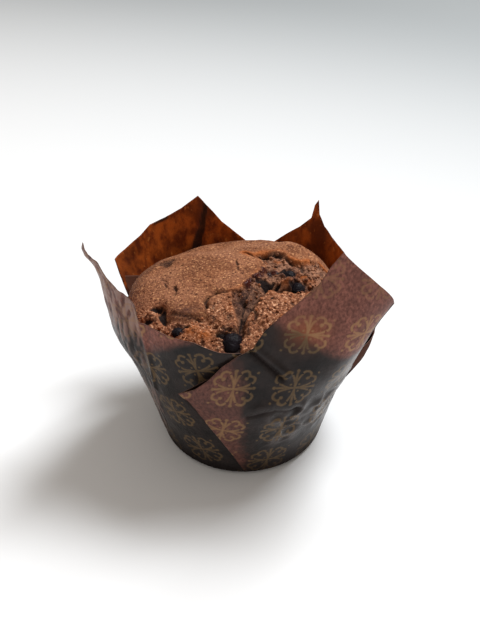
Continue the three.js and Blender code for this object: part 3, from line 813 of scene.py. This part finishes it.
def broken_crust(x, y, z, detail):
    """The height with its cracks, lumps and openings, and the painted shade in the cracks and
    openings.
    """
    p = flat(x, y)
    dark = np.zeros_like(z)
    for width, depth, points in CRACKS:
        d = path_distance(x, y, points) + 0.25 * layered(p, 1.4, 62)
        fall = detail * hill(d / width)
        z = z - depth * fall
        dark = np.maximum(dark, 0.55 * fall * smooth(depth, 0.8, 1.6))
    broken = 0.75 + 0.25 * smooth(noise(p, 2.2, 79), -0.5, 0.1)
    for width, depth, points in FINE_CRACKS:
        d = path_distance(x, y, points) + 0.3 * layered(p, 1.3, 63)
        fall = detail * hill(np.maximum(d, 0) / width) * broken
        z = z - depth * fall
        dark = np.maximum(dark, fall * smooth(depth, 0, 0.7))
    for cx, cy, wx, wy, height in LUMPS:
        z = z + height * bell(x, y, cx, cy, wx, wy)
    for cx, cy, wx, wy, depth in OPENINGS:
        d = np.hypot((x - cx) / wx, (y - cy) / wy) + 0.3 * layered(p, 1.5, 69)
        hole = smooth(d, 1.2, 0.8)
        z = z - depth * hole
        dark = np.maximum(dark, hole * (1 if depth > 0.55 or cy < 8 else 0.6))
    return z, dark


def crust_darkening(x, y, q, torn, grain):
    """How far the crust is darkened: at some places, along the rim and on the flank of the tear's
    tail.
    """
    p = flat(x, y)
    stain = np.zeros_like(q)
    for cx, cy, wx, wy, strength in STAINS:
        stain = np.maximum(stain, strength * bell(x, y, cx, cy, wx, wy))
    rim = lerp(0.4, 0.75, smooth(x, -17, -26)) * smooth(q, 0.78, 0.97)
    stain = np.maximum(stain, rim * (1 - 0.7 * grain))
    flank = torn * smooth(y, -4, -7) * smooth(y, -17, -12) * smooth(x, 4.5, 2)
    return np.maximum(stain, flank * smooth(layered(p, 1.8, 80), -0.9, 0.2))


def crown(x, y):
    """Height of the crown and its masks: torn, orange, painted shade; granular, wet, darkened."""
    p = flat(x, y)
    q = np.hypot(x - CROWN_C[0], y - CROWN_C[1]) / CROWN_R
    z = CROWN_Z + CROWN_H * np.maximum(0, 1 - q * q) ** CROWN_POWER
    detail = smooth(1 - q, 0, 0.1)
    wobble = 0.45 * layered(p, 2.0, 61, 3)
    edge = inside_by(TORN, x, y) + wobble
    torn = smooth(edge, -TORN_LIP / 2, TORN_LIP / 2)
    z = z - TORN_DEPTH * torn
    grain = np.max([smooth(inside_by(a, x, y) + wobble, -0.8, 0.5) for a in GRANULAR], 0)
    grain = grain * (1 - torn)
    z, dark = broken_crust(x, y, z, detail)
    # Three kinds of surface: sandy crust, coarse grain beside the tear, pitted crumb in it.
    sandy = 0.08 * layered(p, 0.8, 66, 2, 0.7) + 0.42 * layered(p, 7, 67, 3)
    coarse = 0.34 * layered(p, 1.7, 74, 3, 0.65)
    pits = smooth(noise(p, 1.9, 73), 0.4, 0.75)
    crumbs = 0.6 * layered(p, 3.0, 64, 3) - 0.25 * np.abs(noise(p, 1.4, 65))
    crumbs = crumbs - 0.5 * pits
    z = z + detail * lerp(lerp(sandy, coarse, grain), crumbs, torn)
    tail = torn * smooth(y, -3, -8) * smooth(layered(p, 2.4, 78), -0.9, 0.5)
    between_grains = grain * smooth(noise(p, 1.3, 75), 0.45, 0.8)
    # Painted shade in the pits, in the tear's tail and between the grains.
    dark = np.max([dark, 0.75 * torn * pits, 0.45 * tail, 0.6 * between_grains], 0)
    # Orange where the crumb is freshly torn: the patch's lip, its lumps and a few others.
    lip = hill((edge + 0.4) / 0.9) * smooth(noise(p, 3, 68), -0.8, 0.2)
    lumps = smooth(crumbs, 0.25, 0.7) * torn
    orange = np.maximum(lip * lerp(0.35, 0.95, smooth(y, -2, 6)), 0.85 * lumps)
    for cx, cy, wx, wy, _ in ORANGE_LUMPS:
        orange = np.maximum(orange, 0.9 * bell(x, y, cx, cy, wx, wy))
    orange = orange * (1 - dark)
    wet = smooth(path_distance(x, y, JAM) + 0.35 * layered(p, 1.3, 76), 1.0, 0.4)
    z = z + 0.3 * wet
    stain = crust_darkening(x, y, q, torn, grain)
    for bx, by, _, br in BERRIES.values():
        d = np.hypot(x - bx, y - by) / br + 0.2 * layered(p, 1.6, 77)
        rise = BERRY_RIM if by < -15 else TEAR_RIM
        z = z + rise * hill((d - 1) / 0.27) * smooth(y, -26, -22)
        stain = np.maximum(stain, 0.9 * smooth(d, 1.5, 0.9))
    return z, (torn, orange, dark), (grain, wet, stain)


def muffin_mesh(material):
    """Rings up the side and over the crown to its middle, closed at the top and the foot."""
    az = np.linspace(0, 360, CROWN_COLUMNS, endpoint=False)
    out = cartesian(az, np.ones_like(az), np.zeros_like(az))
    # How far the crown's own circle is from the axis, and the rim inside it and the paper.
    along = out[:, 0] * CROWN_C[0] + out[:, 1] * CROWN_C[1]
    off = CROWN_C[0] ** 2 + CROWN_C[1] ** 2 - CROWN_R**2
    free = along + np.sqrt(along * along - off)
    rim = np.min([free - RIM_INSET, *[inner_wall(az, z) for z in RIM_HEIGHTS]], 0)
    rings = []
    masks = []
    for k, z in enumerate(SIDE_Z):
        r = np.minimum(inner_wall(az, z), rim + SIDE_OVER) - (FOOT_INSET if k == 0 else 0)
        rings.append(cartesian(az, r, np.full_like(az, z)))
        masks.append(np.zeros((len(az), 6)))
    for k in range(CROWN_RINGS):
        r = rim * math.sin(math.pi / 2 * (1 - k / CROWN_RINGS)) ** RING_POWER
        x, y = r * out[:, 0], r * out[:, 1]
        z, first, second = crown(x, y)
        rings.append(np.stack([x, y, z], -1))
        masks.append(np.stack([*first, *second], -1))
    middle = crown(np.zeros(1), np.zeros(1))[0][0]
    verts = np.concatenate([*rings, [[0, 0, middle], [0, 0, SIDE_Z[0]]]])
    mask = np.concatenate([*masks, np.zeros((2, 6))])
    ring = np.arange(len(rings) * CROWN_COLUMNS).reshape(len(rings), -1)
    after = np.roll(ring, -1, 1)
    top = np.full(CROWN_COLUMNS, ring.size)
    halves = (ring[:-1], after[:-1], after[1:]), (ring[:-1], after[1:], ring[1:])
    faces = np.concatenate([
        np.stack([np.stack(half, -1) for half in halves], 1).reshape(-1, 3),
        np.stack([ring[-1], after[-1], top], -1),
        np.stack([after[0], ring[0], top + 1], -1),
    ])
    return build_mesh("muffin_crust", verts, faces, [material], mask)


def crumb_mesh(material):
    """Loose crumbs on the torn patch and the coarse areas, joined in one mesh."""
    rng = np.random.default_rng(5)
    bpy.ops.mesh.primitive_ico_sphere_add(subdivisions=2, radius=1)
    ball = bpy.context.object
    shape = np.array([v.co[:] for v in ball.data.vertices])
    tris = np.array([p.vertices[:] for p in ball.data.polygons])
    bpy.data.objects.remove(ball)
    x, y = rng.uniform(-31, 31, (2, CRUMB_PLACES))
    z, (torn, _, dark), (grain, _, stain) = crown(x, y)
    room = inner_wall(np.degrees(np.arctan2(y, x)), RIM_HEIGHTS[1]) - np.hypot(x, y)
    room = np.minimum(room, CROWN_R - np.hypot(x - CROWN_C[0], y - CROWN_C[1]))
    keep = rng.uniform(size=len(x)) < 0.9 * torn + 0.5 * grain
    verts, faces, masks = [], [], []
    for k in np.flatnonzero(keep & (dark < 0.5) & (room > CRUMB_ROOM)):
        size = rng.uniform(*CRUMB_SIZE) * (1.2 if torn[k] > 0.5 else 1)
        squash = rng.uniform(0.6, 1.0, 3)
        knobs = 1 + 0.3 * layered(shape + rng.uniform(0, 50, 3), 0.8, 81)
        turn, _ = np.linalg.qr(rng.normal(size=(3, 3)))
        local = (shape * knobs[:, None] * squash) @ turn.T * size
        faces.append(tris + len(verts) * len(shape))
        verts.append(local + (x[k], y[k], z[k] + 0.05 * size))
        kind = [torn[k], 0.5 * rng.uniform() ** 2, 0, grain[k], 0, stain[k]]
        masks.append(np.tile(kind, (len(shape), 1)))
    verts, faces, masks = (np.concatenate(parts) for parts in (verts, faces, masks))
    return build_mesh("muffin_crumbs", verts, faces, [material], masks)


def berry_mesh(name, place, material):
    """A round skin with soft dents, fine bumps and wrinkles."""
    x, y, z, r = place
    bpy.ops.mesh.primitive_ico_sphere_add(subdivisions=6, radius=1)
    piece = bpy.context.object
    piece.name = name + "_skin"
    co = np.empty(len(piece.data.vertices) * 3, np.float32)
    piece.data.vertices.foreach_get("co", co)
    co = co.reshape(-1, 3).astype(float)
    seed = 70 + list(BERRIES).index(name)
    swell = r * (1 + 0.07 * layered(co, 0.9, seed) + 0.025 * layered(co, 0.25, seed + 9))
    wrinkle = 1 - np.abs(layered(co, 0.45, seed + 5))
    swell = swell - 0.05 * r * wrinkle
    fill(piece.data.vertices, "co", (co * swell[:, None] + (x, y, z)) * MM)
    piece.data.shade_smooth()
    piece.data.materials.append(material)
    return piece


# ---- Materials ----
class Net:
    """Short forms for building a material's node tree."""

    def __init__(self, name):
        self.material = bpy.data.materials.new(name)
        self.material.use_nodes = True
        self.tree = self.material.node_tree
        self.surface = self.tree.nodes["Principled BSDF"]
        self.base = None

    def node(self, kind, **facts):
        n = self.tree.nodes.new(kind)
        for key, value in facts.items():
            setattr(n, key, value)
        return n

    def put(self, socket, value):
        """Link a socket, or set it; a tuple is a colour."""
        if isinstance(value, bpy.types.NodeSocket):
            self.tree.links.new(value, socket)
        elif isinstance(value, tuple):
            socket.default_value = (*value, 1)
        else:
            socket.default_value = value

    def feed(self, n, **values):
        """Give a node its inputs by name, with _ for a space."""
        for key, value in values.items():
            self.put(n.inputs[key.replace("_", " ")], value)
        return n.outputs[0]

    def set(self, **values):
        self.feed(self.surface, **values)

    def math(self, operation, a, b=0, c=0, clamp=False):
        n = self.node("ShaderNodeMath", operation=operation, use_clamp=clamp)
        for socket, value in zip(n.inputs, (a, b, c)):
            self.put(socket, value)
        return n.outputs[0]

    def times(self, a, b):
        return self.math("MULTIPLY", a, b)

    def minus(self, a, b):
        return self.math("SUBTRACT", a, b)

    def length(self, a, b):
        return self.math("SQRT", self.math("ADD", self.times(a, a), self.times(b, b)))

    def smooth(self, x, low, high):
        n = self.node("ShaderNodeMapRange", interpolation_type="SMOOTHSTEP")
        return self.feed(n, Value=x, From_Min=low, From_Max=high)

    def mix(self, factor, a, b):
        n = self.node("ShaderNodeMix", data_type="RGBA")
        self.put(n.inputs["Factor"], factor)
        colours = [s for s in n.inputs if s.type == "RGBA"]
        for socket, value in zip(colours, (a, b)):
            self.put(socket, value)
        return [s for s in n.outputs if s.type == "RGBA"][0]

    def cover(self, colour, mask, share=1):
        """Lay a colour over the base colour where a mask says."""
        self.base = self.mix(self.times(mask, share), self.base, colour)

    def noise(self, size, detail, stretch=(1, 1, 1), roughness=0.5):
        """Noise with features of a size in millimetres, 0 to 1."""
        where = self.node("ShaderNodeTexCoord").outputs["Object"]
        scale = [k / (size * MM) for k in stretch]
        where = self.feed(self.node("ShaderNodeMapping"), Vector=where, Scale=scale)
        n = self.node("ShaderNodeTexNoise")
        return self.feed(n, Vector=where, Scale=1, Detail=detail, Roughness=roughness)

    def masks(self, k):
        n = self.node("ShaderNodeVertexColor", layer_name="mask%d" % k)
        parts = self.node("ShaderNodeSeparateColor")
        self.put(parts.inputs[0], n.outputs["Color"])
        return parts.outputs[:3]

    def bump(self, height, distance):
        n = self.node("ShaderNodeBump")
        self.set(Normal=self.feed(n, Height=height, Distance=distance * MM, Strength=1))


def print_ink(net):
    """How much ink a place of the sheet carries, from its place on the print's lattice."""
    uv = net.node("ShaderNodeUVMap", uv_map="sheet").outputs[0]
    parts = net.node("ShaderNodeSeparateXYZ")
    net.put(parts.inputs[0], uv)
    shake = net.math("MULTIPLY_ADD", net.noise(1.3, 1), 0.03, -0.015)
    cell = []
    for axis in (0, 1):
        place = net.math("ADD", parts.outputs[axis], shake)
        off = net.minus(place, net.math("ROUND", place))
        cell.append(net.math("DIVIDE", off, STEM))
    # The eight like parts of a motif are folded onto one.
    ax, ay = (net.math("ABSOLUTE", c) for c in cell)
    x = net.math("MAXIMUM", ax, ay)
    y = net.math("MINIMUM", ax, ay)

    def line(d, half):
        return net.smooth(d, half + INK_EDGE[0], half + INK_EDGE[1])

    def distance(px, py, centre):
        return net.length(net.minus(px, centre[0]), net.minus(py, centre[1]))

    beyond = net.math("MAXIMUM", net.minus(x, STEM_END), 0)
    strokes = [line(net.length(beyond, y), STEM_HALF)]
    strokes += [line(distance(x, y, centre), half) for centre, half in BLOBS]
    # The lobe is a ring, cut on its open side; the stroke under it bends away from the stem.
    ring = net.math("ABSOLUTE", net.minus(distance(x, y, LOBE), LOBE_R))
    towards = [net.times(net.minus(c, v), o) for c, v, o in zip(LOBE, (x, y), LOBE_OPEN)]
    cut = net.smooth(net.math("ADD", *towards), *LOBE_CUT)
    strokes.append(line(net.math("ADD", ring, cut), LOBE_HALF))
    xx = net.times(x, x)
    slope = net.math("SQRT", net.math("ADD", 1, net.times(xx, BEND_SLOPE)))
    bend = net.math("DIVIDE", net.minus(y, net.times(xx, BEND)), slope)
    bend = net.math("ADD", net.math("ABSOLUTE", bend), net.smooth(x, *BEND_END))
    strokes.append(line(bend, BEND_HALF))
    # Dots lie in two opposite quarters only.
    flip = net.math("SIGN", cell[1])
    dot = distance(net.times(cell[0], flip), net.times(cell[1], flip), DOT)
    strokes.append(line(dot, DOT_HALF))
    ink = strokes[0]
    for stroke in strokes[1:]:
        ink = net.math("MAXIMUM", ink, stroke)
    return ink


def paper_outer():
    """The printed side: dark with fat where it lay against the cake, dry and red elsewhere."""
    net = Net("paper_printed")
    loose, orange, faded = net.masks(0)
    shade, gloss, _ = net.masks(1)
    fibre = net.noise(0.75, 3, (1, 1, 0.7), 0.6)
    spread = net.smooth(net.noise(5, 4, roughness=0.6), 0.3, 0.7)
    dry = net.mix(net.smooth(fibre, 0.25, 0.75), *DRY)
    dry = net.mix(net.times(spread, 0.5), dry, DRY_CLOUD)
    net.base = net.mix(loose, net.mix(spread, *GREASY), dry)
    # Painted glare: a pale grey laid into the base colour where the paper is glossy.
    net.cover(GLARE, gloss, 0.45)
    net.cover(SEEPED_AND_GLOW, orange, 0.6)
    # Painted sheen with a worn tone on loose, faded, glossy paper.
    worn_and_sheen = net.math("MULTIPLY", net.times(faded, loose), 1.2, clamp=True)
    net.cover(WORN_AND_SHEEN, net.times(worn_and_sheen, net.smooth(gloss, 0.1, 0.6)))
    rubbed = net.math("MULTIPLY_ADD", net.noise(0.9, 2), 0.9, 0.4, clamp=True)
    ink = net.times(print_ink(net), rubbed)
    ink = net.times(ink, net.math("MULTIPLY_ADD", faded, -0.85, 1))
    net.cover(net.mix(loose, *GOLD), ink)
    net.cover(SHADED, shade, 0.85)
    rough = net.math("MULTIPLY_ADD", loose, 0.16, 0.32)
    rough = net.math("MULTIPLY_ADD", gloss, -0.08, rough)
    rough = net.math("MULTIPLY_ADD", net.noise(2.6, 3), 0.18, net.minus(rough, 0.07))
    rough = net.math("MULTIPLY_ADD", shade, 0.6, rough, clamp=True)
    net.set(Base_Color=net.base, Roughness=rough, IOR=1.45, Specular_IOR_Level=0.2)
    net.bump(net.math("ADD", fibre, net.times(net.noise(3.5, 3), 1.2)), 0.09)
    return net.material


def paper_inner():
    """The plain side: orange brown, mottled and specked; its bright orange also stands in for light
    shining through the paper.
    """
    net = Net("paper_plain")
    _, _, dark = net.masks(1)
    mottle = net.noise(3.2, 4, (1, 1, 0.6), 0.62)
    net.base = net.mix(net.smooth(mottle, 0.32, 0.66), *PLAIN)
    net.cover(PLAIN_CLOUD, net.smooth(net.noise(11, 3), 0.48, 0.68))
    specks = net.smooth(net.noise(1.5, 2, (1, 1, 0.6)), 0.62, 0.74)
    net.cover(PLAIN_SPECK, specks, 0.45)
    # Painted shade on the plain side in folds, in pleats and low inside the case.
    net.cover(PLAIN_DARK, dark)
    net.set(Base_Color=net.base, Roughness=0.5, IOR=1.45, Specular_IOR_Level=0.12)
    net.bump(net.noise(2.2, 3, (1, 1, 0.5)), 0.12)
    return net.material


def paper_edge():
    net = Net("paper_cut")
    net.set(Base_Color=CUT, Roughness=0.7)
    return net.material


def crust():
    """The cake: sandy crust, coarse grain, open crumb, and what lies on them."""
    net = Net("crust")
    torn, orange, dark = net.masks(0)
    grain, wet, stain = net.masks(1)
    net.base = net.mix(net.smooth(net.noise(7, 4, roughness=0.6), 0.3, 0.7), *CRUST)
    net.cover(CRUST_CLOUD, net.smooth(net.noise(14, 2), 0.4, 0.62))
    grains = net.noise(0.62, 2, roughness=0.7)
    net.cover(GRAIN_LIGHT, net.smooth(grains, 0.55, 0.70))
    net.cover(GRAIN_DARK, net.smooth(grains, 0.48, 0.30))
    knobs = net.noise(0.75, 2, roughness=0.75)
    coarse = net.mix(net.smooth(knobs, 0.30, 0.52), *COARSE)
    coarse = net.mix(net.smooth(knobs, 0.53, 0.70), coarse, COARSE_LIGHT)
    net.cover(coarse, grain)
    crumb = net.mix(net.smooth(net.noise(2.2, 4, roughness=0.6), 0.32, 0.68), *CRUMB)
    crumb = net.mix(net.smooth(knobs, 0.46, 0.32), crumb, CRUMB_DARK)
    crumb = net.mix(net.smooth(knobs, 0.56, 0.74), crumb, CRUMB_LIGHT)
    net.cover(crumb, torn)
    net.cover(ORANGE, orange, 0.8)
    stained = net.times(stain, net.smooth(knobs, 0.72, 0.38))
    net.cover(STAIN, stained, 0.85)
    net.cover(WET, wet)
    # Painted shade in cracks, openings, pits and between grains.
    net.cover(HOLLOW, dark)
    rough = net.math("MULTIPLY_ADD", wet, -0.6, 0.85)
    net.set(Base_Color=net.base, Roughness=rough, IOR=1.4, Specular_IOR_Level=0.25)
    fine = net.noise(0.5, 2, roughness=0.7)
    net.bump(net.math("ADD", fine, net.times(net.noise(1.4, 3), 0.8)), 0.4)
    return net.material


def berry_skin():
    net = Net("berry_skin")
    bloom = net.mix(net.noise(1.2, 3), *BERRY)
    net.set(Base_Color=bloom, Roughness=0.48, IOR=1.4, Specular_IOR_Level=0.12)
    net.bump(net.noise(0.7, 3), 0.3)
    return net.material


# ---- Assembly ----
def stand_for(piece, node):
    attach(piece, "root")
    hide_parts(node)


printed, inside, cut = paper_outer(), paper_inner(), paper_edge()
for name in PETALS:
    piece = sheet_mesh("case_" + name, *petal_grid(name), [printed, inside, cut])
    stand_for(piece, "case")
for name in PLEATS:  # the middle layer of a pleat shows its printed side inwards
    piece = sheet_mesh("case_" + name, *pleat_grid(name), [inside, printed, cut])
    stand_for(piece, "case")
stand_for(sheet_mesh("case_foot", *foot_grid(), [printed, inside, cut]), "case")

baked = crust()
stand_for(muffin_mesh(baked), "muffin")
stand_for(crumb_mesh(baked), "muffin")
skin = berry_skin()
for name, place in BERRIES.items():
    stand_for(berry_mesh(name, place, skin), name)


# ---- Floor, light and camera ----
def floor_material():
    """Pale, with painted shade darkening it away to the back right."""
    net = Net("floor")
    where = net.node("ShaderNodeTexCoord").outputs["Object"]
    parts = net.node("ShaderNodeSeparateXYZ")
    net.put(parts.inputs[0], where)
    away = net.math("MULTIPLY_ADD", parts.outputs[1], FLOOR_TURN, parts.outputs[0])
    base = net.mix(net.smooth(away, *FLOOR_FALL), *FLOOR)
    net.set(Base_Color=base, Roughness=0.8, Specular_IOR_Level=0.1)
    return net.material


bpy.ops.mesh.primitive_plane_add(size=FLOOR_SIZE, location=(0, 0, 0))
floor = bpy.context.object
floor.name = "floor"
floor.data.materials.append(floor_material())

world = bpy.data.worlds.new("world")
world.use_nodes = True
sky = world.node_tree.nodes["Background"]
sky.inputs["Color"].default_value = (*SKY, 1)
sky.inputs["Strength"].default_value = SKY_STRENGTH
bpy.context.scene.world = world

window = bpy.data.lights.new("window", "AREA")
window.shape = "RECTANGLE"
window.size = window.size_y = WINDOW_SIZE
window.energy = WINDOW_POWER
window.color = DAYLIGHT
lamp = bpy.data.objects.new("window", window)
lamp.location = WINDOW
dx, dy, dz = (b - a for a, b in zip(WINDOW, WINDOW_AIM))
lamp.rotation_euler = (math.atan2(math.hypot(dx, dy), -dz), 0, math.atan2(dy, dx) - math.pi / 2)
bpy.context.scene.collection.objects.link(lamp)

camera = bpy.data.cameras.new("camera")
camera.sensor_fit = "HORIZONTAL"
camera.sensor_width = SENSOR
camera.lens = LENS
eye = bpy.data.objects.new("camera", camera)
eye.location = CAMERA
eye.rotation_euler = (math.radians(90 - PITCH_DOWN), 0, 0)
bpy.context.scene.collection.objects.link(eye)
bpy.context.scene.camera = eye
bpy.context.scene.view_settings.view_transform = "Standard"
